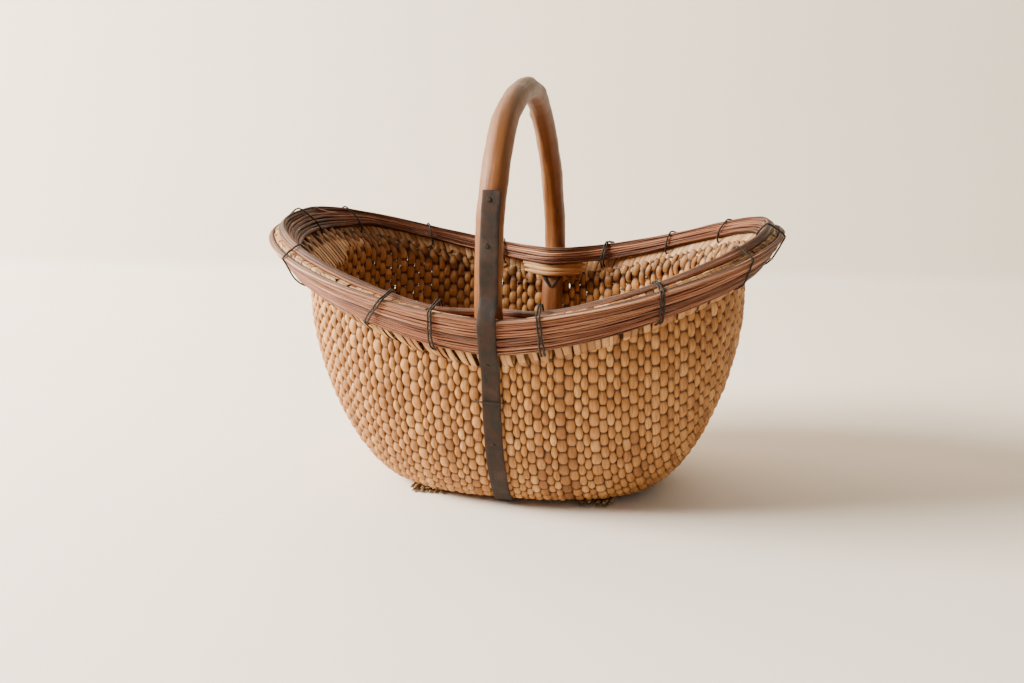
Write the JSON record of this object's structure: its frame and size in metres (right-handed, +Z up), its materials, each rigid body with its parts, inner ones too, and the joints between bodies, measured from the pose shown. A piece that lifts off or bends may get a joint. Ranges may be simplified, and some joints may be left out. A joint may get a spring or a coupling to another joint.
{
  "type": "winnowing basket",
  "caption": "Deep woven willow scoop basket with a flared reed-bound rim, a bent branch handle and an iron strap under the base.",
  "frame": {"origin": "on the ground, under the middle of the handle", "axes": "+X along the basket towards its slightly higher end, -Y towards the side that the thicker handle leg is on, +Z up"},
  "size_m": [0.5424, 0.3682, 0.4297],
  "materials": {
    "woven_willow": "matte",
    "willow_splint": "satin",
    "rim_reed": "matte",
    "branch_wood": "satin",
    "strap_iron": "rusted",
    "binding_wire": "dull",
    "runner_wood": "matte",
    "hemp_cord": "matte"
  },
  "bodies": {
    "root": {"willow_shell": "woven_willow", "edge_splints": "willow_splint", "outer_reed_1": "rim_reed", "outer_reed_2": "rim_reed", "outer_reed_3": "rim_reed", "outer_reed_4": "rim_reed", "outer_reed_5": "rim_reed", "outer_reed_6": "rim_reed", "inner_reed_1": "rim_reed", "inner_reed_2": "rim_reed", "inner_reed_3": "rim_reed", "handle": "branch_wood", "iron_strap": "strap_iron", "strap_nails_front": "strap_iron", "strap_nails_rear": "strap_iron", "strap_wire_front": "binding_wire", "strap_wire_rear": "binding_wire", "handle_lashing_front": "binding_wire", "handle_lashing_rear": "binding_wire", "rim_tie_left_end": "binding_wire", "rim_tie_right_end": "binding_wire", "rim_tie_front_1": "binding_wire", "rim_tie_front_2": "binding_wire", "rim_tie_front_3": "binding_wire", "rim_tie_front_4": "binding_wire", "rim_tie_front_5": "binding_wire", "rim_tie_front_6": "binding_wire", "rim_tie_rear_1": "binding_wire", "rim_tie_rear_2": "binding_wire", "rim_tie_rear_3": "binding_wire", "rim_tie_rear_4": "binding_wire", "rim_tie_rear_5": "binding_wire", "rim_tie_rear_6": "binding_wire", "base_runner_left": "runner_wood", "base_runner_right": "runner_wood", "runner_ties_left": "hemp_cord", "runner_ties_right": "hemp_cord"}
  },
  "joints": []
}
